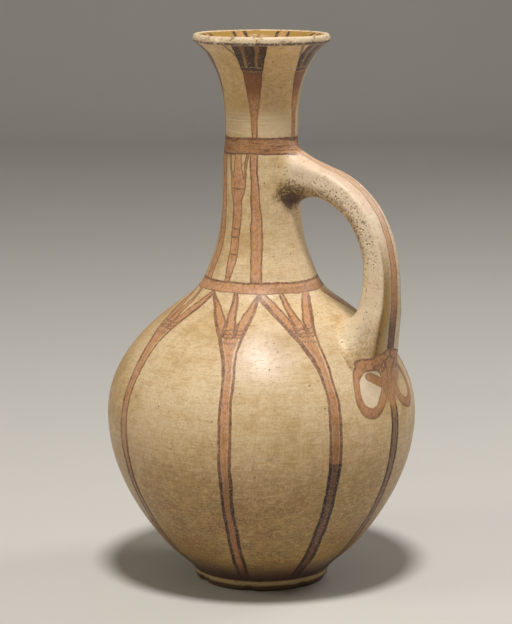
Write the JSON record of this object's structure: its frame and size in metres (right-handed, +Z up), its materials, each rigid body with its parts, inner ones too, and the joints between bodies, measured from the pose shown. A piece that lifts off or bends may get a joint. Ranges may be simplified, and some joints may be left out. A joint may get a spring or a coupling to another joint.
{
  "type": "pottery jug",
  "caption": "Round-bodied pottery jug with a tall neck, a flaring mouth, a strap handle and a low foot ring, for holding and pouring liquid.",
  "frame": {"origin": "centre of the circle that the foot ring rests on", "axes": "+Z up along the jug's turning axis, +X towards the handle, so the XZ plane cuts the handle in two equal halves"},
  "size_m": [0.1918, 0.1918, 0.34],
  "materials": {
    "slipped_clay": "cream slip burnished to a soft sheen, painted in red-brown and dark brown, worn and pitted",
    "foot_clay": "cream slip, matt, chipped along the resting edge"
  },
  "bodies": {
    "root": {"foot_ring": "foot_clay", "bowl": "slipped_clay", "shoulder": "slipped_clay", "neck": "slipped_clay", "mouth": "slipped_clay", "handle": "slipped_clay", "handle_top_lute": "slipped_clay", "handle_foot_lute": "slipped_clay"}
  },
  "joints": []
}
